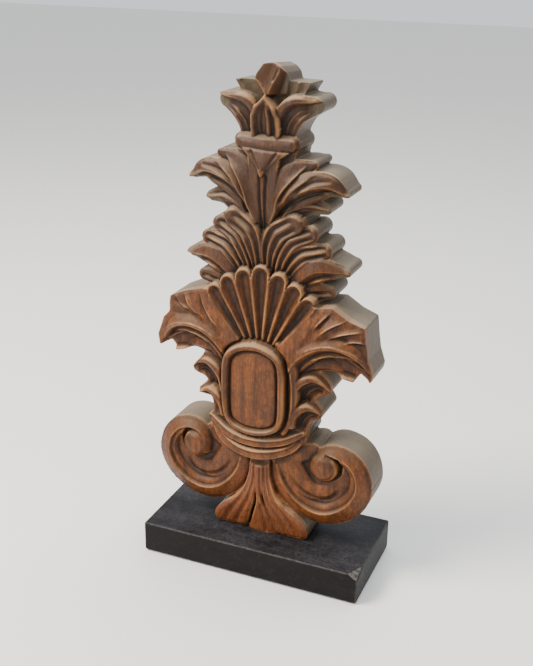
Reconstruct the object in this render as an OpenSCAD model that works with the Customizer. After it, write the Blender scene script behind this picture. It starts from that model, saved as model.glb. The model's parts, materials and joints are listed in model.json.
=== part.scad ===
// Carved wooden crest on a black plinth.
// One carved board stands on a painted block. Two screws hold it from below and
// four felt pads carry the block. Origin: middle of the footprint, on the table.
// +Z is up, -Y is the carved front, +X is the viewer's right.

/* [Plinth] */
// Width of the plinth, left to right
plinth_width = 200; // [160:1:240]
// Depth of the plinth, front to back
plinth_depth = 94; // [80:1:120]
// Height of the plinth block
plinth_height = 28; // [20:1:40]
// Radius worn onto the upright corners of the plinth
plinth_corner = 2.5; // [1:0.5:6]

/* [Carved board] */
// Thickness of the board at its edges
board_thickness = 31.5; // [24:0.5:40]
// Front of the board's edges, measured forward of the plinth's middle
edge_forward = 13; // [8:0.5:18]
// How far the boss of the carving stands in front of the edges
relief = 20; // [14:0.5:24]
// Depth of the hollowed flutes and grooves
flute_depth = 3; // [1:0.5:5]

/* [Cartouche] */
// Half width of the cartouche's raised frame
frame_half_width = 29; // [26:0.5:32]
// Width of the raised frame
frame_width = 8; // [6:0.5:10]
// How far the blank panel lies behind the frame
panel_recess = 5; // [3:0.5:8]

/* [Shell] */
// Number of flutes in the shell
shell_flutes = 7; // [5:2:9]
// Distance from the fan's focus to the top of the middle flute
shell_radius = 91; // [84:1:95]

/* [Scrolls] */
// Radius of the round eye in each scroll
eye_radius = 12; // [9:0.5:14]
// How far the eye stands in front of the edges
eye_height = 12; // [8:0.5:14]

/* [Fixings] */
// Distance of each screw from the middle
screw_offset = 22; // [16:1:30]
// Diameter of a screw's shank
screw_diameter = 4; // [3:0.5:5]
// Length of a screw, from head to point
screw_length = 45; // [38:1:55]
// Diameter of a screw's head
head_diameter = 8; // [6:0.5:9]
// Depth of the counterbore under the plinth
counterbore_depth = 8; // [5:0.5:14]
// Diameter of a felt pad
pad_diameter = 14; // [10:1:20]
// Thickness of a felt pad
pad_thickness = 1; // [1:0.25:2]

/* [Hidden] */
$fn = 48;
plinth_top = pad_thickness + plinth_height;
back = board_thickness - edge_forward;
edge = -edge_forward;
screw_seat = pad_thickness + counterbore_depth;
screw_y = (back + edge) / 2;
pad_x = plinth_width / 2 - 14;
pad_y = plinth_depth / 2 - 13;
eye_x = 61;
eye_z = 104;

// ---- shapes shared by the carving ----

// A point on the smooth curve from a to c that leans toward b
function curve(a, b, c, t) = (1 - t) * (1 - t) * a + 2 * t * (1 - t) * b + t * t * c;
// The curve's direction there
function heading(a, b, c, t) = (1 - t) * (b - a) + t * (c - b);
// The sideways unit vector of a direction
function side(v) = [-v[1], v[0]] / norm(v);

// A leaf lobe: half widths w[0], w[1], w[2] at root, belly and tip, with a blunt tip
module lobe(a, b, c, w, n = 8) {
    along = heading(a, b, c, 1) / norm(heading(a, b, c, 1));
    polygon(concat(
        [for (i = [0:n]) curve(a, b, c, i / n)
            + side(heading(a, b, c, i / n)) * curve(w[0], w[1], w[2], i / n)],
        [for (t = [60:-30:-60]) c + w[2] * (along * cos(t) + side(along) * sin(t))],
        [for (i = [n:-1:0]) curve(a, b, c, i / n)
            - side(heading(a, b, c, i / n)) * curve(w[0], w[1], w[2], i / n)]));
}

// A flat outline stood up, from y_back forward to height h over the edges
module raised(h, y_back = 0) {
    translate([0, y_back, 0])
        rotate([90, 0, 0])
            linear_extrude(height = h - edge + y_back)
                children();
}

// A shallow cut from the front, down to height h over the edges
module sunk(h) {
    translate([0, edge - h, 0])
        rotate([90, 0, 0])
            linear_extrude(height = 40)
                children();
}

// The same thing on the right and on the left
module pair() {
    children();
    mirror([1, 0, 0]) children();
}

// ---- outlines of the board ----

// Leaves of the upper tier, right hand side
module upper_leaves() {
    lobe([9, 310], [22, 354], [65, 340], [4, 16, 2.5]);
    lobe([18, 345], [24, 358], [37, 359], [6, 7, 5]);
    lobe([14, 312], [30, 331], [50, 322], [5, 8, 2.5]);
}

// Lobes of the middle fan, right hand side
module fan_lobes() {
    lobe([5, 258], [4, 300], [23, 311], [5, 7, 10]);
    lobe([15, 256], [18, 294], [37, 304], [5, 6, 8]);
    lobe([25, 252], [31, 283], [48, 291], [5, 6, 8]);
    lobe([33, 248], [44, 280], [68, 276], [6, 10, 4]);
    lobe([40, 245], [48, 262], [55, 259], [5, 6, 5]);
}

// Broad leaf beside the shell, right hand side, with its cut end
module wing() {
    polygon([[30, 250], [48, 249], [66, 245], [85, 237], [86, 222], [91, 217],
             [97, 200], [95, 190], [84, 196], [79, 189], [62, 192], [52, 189],
             [30, 180]]);
}

// Small side leaves beside the cartouche, right hand side
module side_leaves() {
    lobe([30, 170], [46, 192], [61, 177], [10, 10, 3]);
    lobe([30, 150], [44, 174], [56, 160], [10, 9, 3]);
}

// Radius of a scroll at angle t: it grows by the same ratio on every turn
function scroll_r(t) = 25.5 * pow(2.03, (90 - t) / 180);

// A scroll seen from the front, drawn in by the given margin
module scroll(margin = 0, last = -150) {
    polygon([for (t = [150:-12:last]) [eye_x, eye_z]
             + (scroll_r(t) - margin) * [cos(t), sin(t)]]);
}

// The whole board's outline
module board_outline() {
    pair() upper_leaves();
    pair() fan_lobes();
    pair() wing();
    pair() side_leaves();
    pair() scroll();
    // Trunk behind the tiers
    polygon([[-25, 379], [-25, 366], [-38, 362], [-32, 315], [-44, 300],
             [-50, 250], [-52, 190], [-44, 146], [-46, 130], [-30, 60],
             [30, 60], [46, 130], [44, 146], [52, 190], [50, 250],
             [44, 300], [32, 315], [38, 362], [25, 366], [25, 379]]);
    foot_outline();
}

// The flared foot, flat where it stands on the plinth
module foot_outline() {
    difference() {
        union() {
            pair() lobe([6, 100], [10, 62], [39, 39], [8, 9, 8.5]);
            pair() lobe([4, 98], [4, 60], [18, 38], [6, 8, 9]);
            translate([-30, plinth_top]) square([60, 20]);
        }
        translate([-60, plinth_top - 40]) square([120, 40]);
    }
}

// ---- tiers of the carving ----

// Crown of petals with the folded bud on top
module crown() {
    raised(-4, back) {
        polygon([[-23, 370], [-24, 400], [-28, 418], [-12, 419.5], [-10, 426],
                 [-5, 431], [0, 432.5], [5, 431], [10, 426], [12, 419.5],
                 [28, 418], [24, 400], [23, 370]]);
    }
    raised(2, back) pair() lobe([12, 374], [15, 403], [34, 403.5], [8, 10, 6.5]);
    raised(4, back) lobe([0, 374], [0, 388], [0, 399], [9, 9, 9]);
    // Collar bead
    raised(4, back) {
        translate([-21, 366]) square([42, 13]);
        pair() translate([21, 372.5]) circle(r = 6.5);
    }
}

// Centre rib and bracket under the collar
module upper_tier() {
    raised(7, back) pair() lobe([9, 312], [22, 352], [58, 341], [3, 11, 3]);
    raised(4, back) pair() lobe([17, 345], [24, 357], [35, 358], [4, 5, 4]);
    raised(10, back) {
        polygon([[-20, 364], [-12, 352], [0, 342], [12, 352], [20, 364], [20, 368], [-20, 368]]);
        translate([-8, 300]) square([16, 52]);
    }
}

// Middle fan
module middle_fan() {
    raised(10, back) pair() lobe([6, 258], [5, 299], [22, 309], [3, 5, 8]);
    raised(8, back) pair() lobe([15, 256], [18, 292], [36, 302], [3, 5, 6.5]);
    raised(6, back) pair() lobe([25, 252], [31, 281], [46, 289], [3, 5, 6.5]);
    raised(4, back) pair() lobe([33, 250], [44, 278], [64, 276], [4, 7, 3]);
}

// Angle of a shell ridge or flute, counted from the left
function shell_angle(i) = 90 + (shell_flutes / 2 - i) * 84 / shell_flutes;

// Fluted shell rising from the cartouche
module shell() {
    difference() {
        raised(15, back) {
            for (i = [0.5:1:shell_flutes - 0.5])
                lobe([0, 186], [0, 186] + 45 * [cos(shell_angle(i)), sin(shell_angle(i))],
                     [0, 186] + (shell_radius - 9 - 0.12 * abs(90 - shell_angle(i)))
                     * [cos(shell_angle(i)), sin(shell_angle(i))], [9, 8, 8.5], 2);
        }
        for (i = [0.5:1:shell_flutes - 0.5])
            sunk(15 - flute_depth)
                lobe([0, 186] + 24 * [cos(shell_angle(i)), sin(shell_angle(i))],
                     [0, 186] + 50 * [cos(shell_angle(i)), sin(shell_angle(i))],
                     [0, 186] + (shell_radius - 12 - 0.12 * abs(90 - shell_angle(i)))
                     * [cos(shell_angle(i)), sin(shell_angle(i))], [1.5, 3, 4.5], 2);
    }
    // Crest of each broad leaf
    raised(8, back) pair() lobe([30, 200], [62, 232], [86, 206], [9, 8, 5]);
    raised(4, back) pair() lobe([34, 214], [54, 240], [74, 232], [8, 8, 5]);
}

// Blank cartouche with its raised frame
module frame_shape(m) {
    translate([0, 187]) circle(r = frame_half_width - m);
    translate([m - frame_half_width, 150]) square([2 * (frame_half_width - m), 37]);
    pair() translate([11, 148]) circle(r = 18 - m);
    translate([-11, 130 + m]) square([22, 30]);
}

module cartouche() {
    difference() {
        raised(relief, back) frame_shape(0);
        sunk(relief - panel_recess) frame_shape(frame_width);
    }
}

// Two ribbons slung below the cartouche
module ribbons() {
    raised(relief - 3, back) lobe([-36, 133], [0, 114], [36, 133], [4, 4.5, 4]);
    raised(relief - 5, back) lobe([-38, 124], [0, 101], [38, 124], [4, 5, 4]);
}

// Scroll with its sunk channel and round eye
module scroll_face() {
    difference() {
        raised(3, back) scroll();
        sunk(3 - flute_depth) difference() {
            scroll(10, -120);
            scroll(17, -120);
        }
    }
    raised(7, back) scroll(20, -100);
    raised(eye_height, back) translate([eye_x, eye_z]) circle(r = eye_radius);
}

// Bundle of leaves in the foot
module foot_leaves() {
    raised(9, back) difference() {
        union() {
            lobe([0, 100], [0, 70], [0, 40], [5, 6, 10]);
            pair() lobe([5, 104], [8, 62], [24, 38], [4, 4, 6]);
        }
        translate([-60, plinth_top - 40]) square([120, 40]);
    }
}

// ---- the pieces ----

// The carved board, in one piece with its relief
module carving() {
    color("saddlebrown") difference() {
        union() {
            raised(0, back) board_outline();
            crown();
            upper_tier();
            middle_fan();
            shell();
            raised(7, back) pair() side_leaves();
            cartouche();
            ribbons();
            pair() scroll_face();
            foot_leaves();
        }
        // Pilot holes for the two screws
        pair() translate([screw_offset, screw_y, plinth_top - 5])
            cylinder(d = screw_diameter + 0.1, h = 34);
    }
}

// The painted block under the carving
module plinth() {
    color("dimgray") difference() {
        translate([0, 0, pad_thickness]) linear_extrude(height = plinth_height) {
            square([plinth_width - 2 * plinth_corner, plinth_depth], center = true);
            square([plinth_width, plinth_depth - 2 * plinth_corner], center = true);
            for (x = [-1, 1], y = [-1, 1])
                translate([x * (plinth_width / 2 - plinth_corner),
                           y * (plinth_depth / 2 - plinth_corner)])
                    circle(r = plinth_corner);
        }
        pair() translate([screw_offset, screw_y, 0]) {
            cylinder(d = screw_diameter + 0.5, h = 60);
            cylinder(d = head_diameter + 2, h = screw_seat);
        }
    }
}

// A round-headed wood screw, point upward
module screw(x) {
    color("silver") translate([x, screw_y, screw_seat]) difference() {
        union() {
            translate([0, 0, -3]) cylinder(d = head_diameter, h = 3);
            cylinder(d = screw_diameter, h = screw_length - 8);
            translate([0, 0, screw_length - 8])
                cylinder(d1 = screw_diameter, d2 = 0.6, h = 5);
        }
        // Cross recess
        translate([-2.2, -0.5, -4]) cube([4.4, 1, 2.6]);
        translate([-0.5, -2.2, -4]) cube([1, 4.4, 2.6]);
    }
}

module mounting_screw_left() {
    screw(-screw_offset);
}

module mounting_screw_right() {
    screw(screw_offset);
}

// A felt pad under one corner of the plinth
module pad(x, y) {
    color("dimgray") translate([x * pad_x, y * pad_y, 0])
        cylinder(d = pad_diameter, h = pad_thickness);
}

module felt_pad_front_left() {
    pad(-1, -1);
}

module felt_pad_front_right() {
    pad(1, -1);
}

module felt_pad_back_left() {
    pad(-1, 1);
}

module felt_pad_back_right() {
    pad(1, 1);
}

carving();
plinth();
mounting_screw_left();
mounting_screw_right();
felt_pad_front_left();
felt_pad_front_right();
felt_pad_back_left();
felt_pad_back_right();
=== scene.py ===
"""Carved wooden crest on a black plinth: the finished looks, built over the CAD frame.

The board is carved as a relief: tiers of lobes are laid over one another from the crown down,
then cut with grooves and raised with ribs, and the result is turned into one closed mesh with
straight sawn edges and a flat back. Sizes are millimetres in the frame's own axes.
"""

import logging
import math
from dataclasses import dataclass, field
from enum import Enum
from typing import Iterator, Optional, Sequence, Union

import bpy
import numpy as np
from mathutils import Matrix, Vector
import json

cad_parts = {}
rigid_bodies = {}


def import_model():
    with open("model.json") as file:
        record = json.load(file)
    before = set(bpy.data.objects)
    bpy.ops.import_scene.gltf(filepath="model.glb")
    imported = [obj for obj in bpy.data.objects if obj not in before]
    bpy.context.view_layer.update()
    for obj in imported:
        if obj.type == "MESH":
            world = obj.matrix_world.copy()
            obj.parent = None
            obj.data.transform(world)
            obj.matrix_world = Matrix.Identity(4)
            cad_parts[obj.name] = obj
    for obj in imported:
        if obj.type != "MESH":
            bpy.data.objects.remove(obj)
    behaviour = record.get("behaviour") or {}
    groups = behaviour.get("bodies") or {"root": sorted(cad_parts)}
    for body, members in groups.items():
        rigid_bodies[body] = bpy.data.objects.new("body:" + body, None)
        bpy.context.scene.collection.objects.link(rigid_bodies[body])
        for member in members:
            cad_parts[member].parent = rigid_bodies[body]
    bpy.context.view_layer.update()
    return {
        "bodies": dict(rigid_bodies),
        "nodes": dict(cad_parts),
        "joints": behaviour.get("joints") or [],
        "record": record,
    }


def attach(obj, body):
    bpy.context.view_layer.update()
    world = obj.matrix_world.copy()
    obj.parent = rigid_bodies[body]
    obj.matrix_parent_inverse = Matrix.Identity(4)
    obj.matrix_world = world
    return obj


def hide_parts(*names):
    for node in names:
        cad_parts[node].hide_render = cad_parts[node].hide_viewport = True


logging.basicConfig(level=logging.INFO, format="%(message)s")
LOG = logging.getLogger("crest")

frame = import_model()

MM = 0.001
FRONT = -13.0      # y of the board's edges, front
BACK = 18.5        # y of the board's back
SOLE = 29.0        # z where the foot stands on the plinth
Point = tuple[float, float]


# ---------------------------------------------------------------------------
# Relief carving
# ---------------------------------------------------------------------------

class Section(Enum):
    """How a lobe's surface runs from its right edge (-1) over the middle (0) to its left edge (1).

    Each value lists (place across, share of the lobe's rise) pairs.
    """

    ROUND = ((-1, 0.0), (-0.6, 0.75), (0, 1.0), (0.6, 0.75), (1, 0.0))
    FLAT = ((-1, 0.9), (0, 1.0), (1, 0.9))
    LEAF = ((-1, 0.05), (-0.72, 0.22), (-0.5, 0.05), (-0.25, 0.5), (-0.02, 1.0), (0.3, 0.85),
            (1, 0.45))
    PETAL = ((-1, 0.12), (-0.8, 0.05), (-0.3, 0.0), (0.18, 0.12), (0.4, 0.8), (0.52, 1.0),
             (0.75, 0.9), (1, 0.55))
    BAND = ((-1, 0.0), (-0.6, 0.42), (-0.1, 0.78), (0.28, 1.0), (0.42, 0.62), (0.7, 0.68),
            (1, 0.45))
    RIBBON = ((-1, 0.45), (-0.6, 0.85), (-0.1, 0.75), (0.3, 0.6), (0.62, 1.0), (1, 0.7))


@dataclass(frozen=True)
class Lobe:
    """One leaf, petal or band of the relief.

    Args:
        line: points its middle line passes through, root first.
        width: half widths, one per point.
        height: heights of its crest over the board's edges, one per point.
        rise: how far the crest stands over the lobe's own low parts.
        section: the shape across it.
        round_over: how far in from its edge the surface rolls away.
        drop: how far it has rolled away at the edge itself.
        capped: whether the root end is rounded like the tip.
        flat_tip: whether the tip is cut off square.
        outline: whether it is part of the board's silhouette.
    """

    line: Sequence[Point]
    width: Sequence[float]
    height: Sequence[float]
    rise: float = 3.0
    section: Section = Section.ROUND
    round_over: float = 2.5
    drop: float = 3.0
    capped: bool = False
    flat_tip: bool = False
    outline: bool = True


@dataclass(frozen=True)
class Stroke:
    """A gouge cut or a raised rib along a line, fading at both ends.

    Args:
        line: points it passes through.
        width: half width, or one half width per place along it.
        depth: how far it raises the surface, negative for a cut.
        fade: share of its length over which each end fades.
        sharp: 1 for a V section, less for a round one.
    """

    line: Sequence[Point]
    width: float | Sequence[float]
    depth: float
    fade: float = 0.25
    sharp: float = 1.0


@dataclass(frozen=True)
class Fold:
    """A lip where one part of a leaf laps over the next: the left of the line stands up.

    Args:
        line: points the lip's edge passes through.
        lift: how far the lip stands up.
        reach: how far from the edge it has mostly died away.
        fade: share of its length over which each end fades.
    """

    line: Sequence[Point]
    lift: float
    reach: float
    fade: float = 0.2


def smooth_line(points: Sequence[Point], per_span: int = 10) -> np.ndarray:
    """Runs a smooth curve through points.

    Args:
        points: at least two points.
        per_span: steps between neighbours.

    Returns:
        An array of (x, z) rows.
    """
    p = np.asarray(points, float)
    if len(p) == 2:
        t = np.linspace(0, 1, per_span + 1)[:, None]
        return p[0] + (p[1] - p[0]) * t
    ends = np.vstack([2 * p[0] - p[1], p, 2 * p[-1] - p[-2]])
    rows = []
    for i in range(1, len(ends) - 2):
        a, b, c, d = ends[i - 1:i + 3]
        t = np.linspace(0, 1, per_span, endpoint=False)[:, None]
        rows.append(0.5 * (2 * b + (c - a) * t + (2 * a - 5 * b + 4 * c - d) * t ** 2
                           + (3 * b - a - 3 * c + d) * t ** 3))
    rows.append(p[-1:])
    return np.vstack(rows)


def blur(a: np.ndarray, sigma: float) -> np.ndarray:
    """Blurs a grid softly.

    Args:
        a: the grid.
        sigma: width of the blur, in cells.

    Returns:
        A grid of the same shape.
    """
    r = max(1, int(math.ceil(2.6 * sigma)))
    k = np.exp(-0.5 * (np.arange(-r, r + 1) / sigma) ** 2)
    k /= k.sum()
    for axis in (0, 1):
        pad = [(r, r) if i == axis else (0, 0) for i in (0, 1)]
        q = np.pad(a, pad, mode="edge")
        out = np.zeros_like(a)
        for i, w in enumerate(k):
            cut = [slice(None), slice(None)]
            cut[axis] = slice(i, i + a.shape[axis])
            out += w * q[tuple(cut)]
        a = out
    return a


def ease(t: np.ndarray) -> np.ndarray:
    """Runs smoothly from 0 to 1 as t does."""
    t = np.clip(t, 0, 1)
    return t * t * (3 - 2 * t)


def round_fall(t: np.ndarray) -> np.ndarray:
    """Falls like a quarter circle from 1 at an edge to 0 one step in."""
    return 1 - np.sqrt(np.clip(1 - (1 - np.clip(t, 0, 1)) ** 2, 0, 1))


def value_noise(shape: tuple[int, int], cell: tuple[float, float], seed: int) -> np.ndarray:
    """Makes smooth seeded noise between -1 and 1.

    Args:
        shape: size of the grid.
        cell: size of one bump along each axis, in cells.
        seed: which noise.

    Returns:
        The noise grid.
    """
    rng = np.random.default_rng(seed)
    n0 = int(shape[0] / cell[0]) + 3
    n1 = int(shape[1] / cell[1]) + 3
    g = rng.uniform(-1, 1, (n0, n1))
    i = np.arange(shape[0]) / cell[0]
    j = np.arange(shape[1]) / cell[1]
    i0, j0 = i.astype(int), j.astype(int)
    fi, fj = i - i0, j - j0
    fi, fj = (fi * fi * (3 - 2 * fi))[:, None], (fj * fj * (3 - 2 * fj))[None, :]
    a, b = g[i0][:, j0], g[i0][:, j0 + 1]
    c, d = g[i0 + 1][:, j0], g[i0 + 1][:, j0 + 1]
    return (a * (1 - fj) + b * fj) * (1 - fi) + (c * (1 - fj) + d * fj) * fi


class Relief:
    """The board's front as a height map over its edges, and its outline as a distance map."""

    def __init__(self, step: float) -> None:
        """Starts a blank board.

        Args:
            step: spacing of the map's points, in mm.
        """
        self.step = step
        self.x = np.arange(-100.5, 100.5 + step / 2, step)
        self.x -= self.x.mean()
        self.z = np.arange(26.0, 436.0, step)
        self.h = np.full((len(self.z), len(self.x)), -9.0)
        self.s = np.full_like(self.h, -60.0)

    def _near(self, line: np.ndarray, reach: float) -> Optional[tuple]:
        """Measures every point near a line.

        Args:
            line: rows of (x, z).
            reach: how far round the line to measure.

        Returns:
            The window of the map, and in it the place along the line (0 to 1), the distance from
            it (positive on the left), how far a point lies past an end and its sideways offset.
        """
        lo, hi = line.min(0) - reach, line.max(0) + reach
        i0, i1 = np.searchsorted(self.x, [lo[0], hi[0]])
        j0, j1 = np.searchsorted(self.z, [lo[1], hi[1]])
        if i1 <= i0 or j1 <= j0:
            return None
        px, pz = np.meshgrid(self.x[i0:i1], self.z[j0:j1])
        best = np.full(px.shape, 1e9)
        along = np.zeros_like(px)
        signed = np.zeros_like(px)
        over = np.zeros_like(px)
        beside = np.zeros_like(px)
        seg = np.diff(line, axis=0)
        length = np.maximum(np.hypot(seg[:, 0], seg[:, 1]), 1e-6)
        start = np.concatenate([[0], np.cumsum(length)])
        for k, (a, v, n) in enumerate(zip(line[:-1], seg, length)):
            dx, dz = px - a[0], pz - a[1]
            t = (dx * v[0] + dz * v[1]) / (n * n)
            tc = np.clip(t, 0, 1)
            ex, ez = dx - tc * v[0], dz - tc * v[1]
            d = np.hypot(ex, ez)
            m = d < best
            side = np.sign(v[0] * dz - v[1] * dx)
            side[side == 0] = 1
            best = np.where(m, d, best)
            signed = np.where(m, d * side, signed)
            along = np.where(m, (start[k] + tc * n) / start[-1], along)
            past = np.zeros_like(px)
            if k == 0:
                past = np.where(t < 0, t * n, past)
            if k == len(seg) - 1:
                past = np.where(t > 1, (t - 1) * n, past)
            over = np.where(m, past, over)
            beside = np.where(m, (v[0] * dz - v[1] * dx) / n, beside)
        return (slice(j0, j1), slice(i0, i1)), along, signed, over, beside

    @staticmethod
    def _spread(values: Sequence[float], along: np.ndarray) -> np.ndarray:
        """Runs a value smoothly along a line.

        Args:
            values: its values at evenly spaced places.
            along: places along the line, 0 to 1.

        Returns:
            The value at each place.
        """
        n = 41
        curve = smooth_line([(i / (len(values) - 1), v) for i, v in enumerate(values)], 12)
        grid = np.interp(np.linspace(0, 1, n), curve[:, 0], curve[:, 1])
        return np.interp(along, np.linspace(0, 1, n), grid)

    def _copies(self, where: tuple, pair: bool, mirror: bool) -> Iterator[tuple]:
        """Gives the window of each copy to make, and the step that turns the shape over for it.

        Args:
            where: the shape's own window.
            pair: whether its mirror image is made too.
            mirror: whether only its mirror image is made.

        Yields:
            A window and 1, or the mirrored window and -1.
        """
        n = len(self.x)
        if not mirror:
            yield where, 1
        if pair or mirror:
            yield (where[0], slice(n - where[1].stop, n - where[1].start)), -1

    def lay(self, lobe: Lobe, pair: bool = True, mirror: bool = False) -> None:
        """Lays a lobe over what is there.

        Args:
            lobe: the lobe, on the right hand side when it comes as a pair.
            pair: whether its mirror image is laid too.
            mirror: whether only its mirror image is laid.
        """
        line = smooth_line(lobe.line)
        found = self._near(line, max(lobe.width) + 3)
        if found is None:
            return
        where, along, signed, over, beside = found
        w = np.maximum(self._spread(lobe.width, along), 0.3)
        across = np.clip((signed if lobe.capped else beside) / w, -1, 1)
        # At a rounded end the distance runs out from the end point
        inset = w - np.abs(signed)
        if not lobe.capped:
            inset = np.where(over < 0, -np.hypot(over, np.maximum(np.abs(signed) - w, 0)), inset)
        prof = np.asarray(lobe.section.value, float)
        if lobe.flat_tip:
            length = np.hypot(*np.diff(line, axis=0).T).sum()
            inset = np.where(over > 0, -over, np.minimum(inset, (1 - along) * length))
        share = np.interp(across, prof[:, 0], prof[:, 1])
        top = self._spread(lobe.height, along)
        h = top - lobe.rise * (1 - share)
        h = h - lobe.drop * round_fall(inset / max(lobe.round_over, 0.1))
        mask = inset > 0
        for spot, way in self._copies(where, pair, mirror):
            old = self.h[spot]
            self.h[spot] = np.where(mask[:, ::way], np.maximum(old, h[:, ::way]), old)
            if lobe.outline:
                self.s[spot] = np.maximum(self.s[spot], inset[:, ::way])

    def clear(self, lobe: Lobe, to: float, pair: bool = True, soft: float = 3.0) -> None:
        """Lowers everything under a lobe's footprint, so a tier can lie in a bed.

        Args:
            lobe: the footprint.
            to: the level it is lowered to.
            pair: whether its mirror image is lowered too.
            soft: width of the bed's sloping side.
        """
        line = smooth_line(lobe.line)
        found = self._near(line, max(lobe.width) + 3)
        if found is None:
            return
        where, along, signed, _, _ = found
        w = np.maximum(self._spread(lobe.width, along), 0.3)
        share = ease((w - np.abs(signed)) / soft)
        for spot, way in self._copies(where, pair, False):
            old = self.h[spot]
            self.h[spot] = old + (np.minimum(old, to) - old) * share[:, ::way]

    def work(self, stroke: Stroke, pair: bool = True, mirror: bool = False) -> None:
        """Cuts or raises along a stroke.

        Args:
            stroke: the cut or rib.
            pair: whether its mirror image is made too.
            mirror: whether only its mirror image is made.
        """
        line = smooth_line(stroke.line)
        widths = stroke.width if isinstance(stroke.width, (list, tuple)) else [stroke.width] * 2
        found = self._near(line, max(widths) + 2)
        if found is None:
            return
        where, along, signed, over, _ = found
        u = np.clip(np.abs(signed) / self._spread(widths, along), 0, 1)
        shape = (1 - u) * (1.5 - 0.5 * (1 - u)) if stroke.sharp >= 1 else 1 - u ** 2.2
        ends = np.clip(np.minimum(along, 1 - along) / max(stroke.fade, 1e-3), 0, 1)
        ends = np.where(over != 0, 0, np.sqrt(ends))
        self._add(where, stroke.depth * shape * ends, pair, mirror)

    def flute(self, lobe: Lobe, across: float, share: float, depth: float,
              past: float = 3.0, pair: bool = True, mirror: bool = False) -> None:
        """Cuts a round flute that follows a lobe and runs out past its tip.

        Args:
            lobe: the lobe it follows.
            across: where it runs, as a share of the lobe's half width, positive on the left.
            share: its own half width, as a share of the lobe's.
            depth: how deep it is.
            past: how far it runs past the tip.
            pair: whether its mirror image is cut too.
            mirror: whether only its mirror image is cut.
        """
        line = smooth_line(lobe.line)
        d = np.gradient(line, axis=0)
        d /= np.maximum(np.hypot(d[:, 0], d[:, 1]), 1e-6)[:, None]
        t = np.linspace(0, 1, len(line))
        half = self._spread(lobe.width, t)[:, None]
        path = line + across * half * np.stack([-d[:, 1], d[:, 0]], 1)
        tip = path[-1] + past * d[-1]
        keep = [tuple(p) for p in path[1:-1:5]] + [tuple(tip)]
        self.work(Stroke(keep, [share * w for w in lobe.width], -depth, 0.1, 0.5), pair, mirror)

    def lap(self, fold: Fold, pair: bool = True, mirror: bool = False) -> None:
        """Raises a lip on the left of a line, dying away from it.

        Args:
            fold: the lip.
            pair: whether its mirror image is raised too.
            mirror: whether only its mirror image is raised.
        """
        line = smooth_line(fold.line)
        found = self._near(line, fold.reach * 2.5)
        if found is None:
            return
        where, along, signed, over, _ = found
        over_lip = ease((signed + 0.6) / 1.2)
        lip = over_lip * np.exp(-np.maximum(signed, 0) / fold.reach)
        foot = (over_lip - 1) * 0.6 * np.exp(np.minimum(signed, 0) / (0.5 * fold.reach))
        ends = ease(np.minimum(along, 1 - along) / max(fold.fade, 1e-3))
        ends = np.where(over != 0, 0, ends)
        self._add(where, fold.lift * (lip + foot) * ends, pair, mirror)

    def _add(self, where: tuple, change: np.ndarray, pair: bool, mirror: bool) -> None:
        """Adds a change of height to a window, its mirror image or both."""
        for spot, way in self._copies(where, pair, mirror):
            self.h[spot] += change[:, ::way]

    def sample(self, grid: np.ndarray, x: np.ndarray, z: np.ndarray) -> np.ndarray:
        """Reads a grid between its points.

        Args:
            grid: one of the relief's maps.
            x: places across.
            z: places up, as many.

        Returns:
            The grid's value at each place.
        """
        i = np.clip((x - self.x[0]) / self.step, 0, len(self.x) - 1.001)
        j = np.clip((z - self.z[0]) / self.step, 0, len(self.z) - 1.001)
        i0, j0 = i.astype(int), j.astype(int)
        fi, fj = i - i0, j - j0
        return ((grid[j0, i0] * (1 - fi) + grid[j0, i0 + 1] * fi) * (1 - fj)
                + (grid[j0 + 1, i0] * (1 - fi) + grid[j0 + 1, i0 + 1] * fi) * fj)

    def inside(self, corners: Sequence[Point], rounded: bool = False) -> np.ndarray:
        """Measures how far each point lies inside a closed outline, negative outside.

        Args:
            corners: the outline's points in order.
            rounded: whether the outline runs smoothly through them.

        Returns:
            A grid of distances in mm.
        """
        p = np.asarray(corners, float)
        if rounded:
            ring = np.vstack([p[-2:], p, p[:3]])
            line = smooth_line(ring)[20:-20]
            p = line[:-1] if np.allclose(line[0], line[-1]) else line
        q = np.roll(p, -1, axis=0)
        px, pz = np.meshgrid(self.x, self.z)
        best = np.full(px.shape, 1e9)
        inner = np.zeros(px.shape, bool)
        for a, b in zip(p, q):
            v = b - a
            n2 = max(float(v @ v), 1e-9)
            t = np.clip(((px - a[0]) * v[0] + (pz - a[1]) * v[1]) / n2, 0, 1)
            best = np.minimum(best, np.hypot(px - a[0] - t * v[0], pz - a[1] - t * v[1]))
            if a[1] != b[1]:
                cross = (a[1] > pz) != (b[1] > pz)
                inner ^= cross & (px < a[0] + v[0] * (pz - a[1]) / v[1])
        return np.where(inner, best, -best)

    def plate(self, depth: np.ndarray, top: np.ndarray, round_over: float, drop: float,
              outline: bool = True, over: bool = False) -> None:
        """Lays a plate of any outline.

        Args:
            depth: distance inside its outline, negative outside.
            top: heights of its surface.
            round_over: how far in from its edge the surface rolls away.
            drop: how far it has rolled away at the edge itself.
            outline: whether it is part of the board's silhouette.
            over: whether it replaces what is there even where that stands higher.
        """
        h = top - drop * round_fall(depth / round_over)
        self.h = np.where(depth > 0, h if over else np.maximum(self.h, h), self.h)
        if outline:
            self.s = np.maximum(self.s, depth)


# ---------------------------------------------------------------------------
# The carving's tiers, in the order they are laid
# ---------------------------------------------------------------------------

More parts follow.
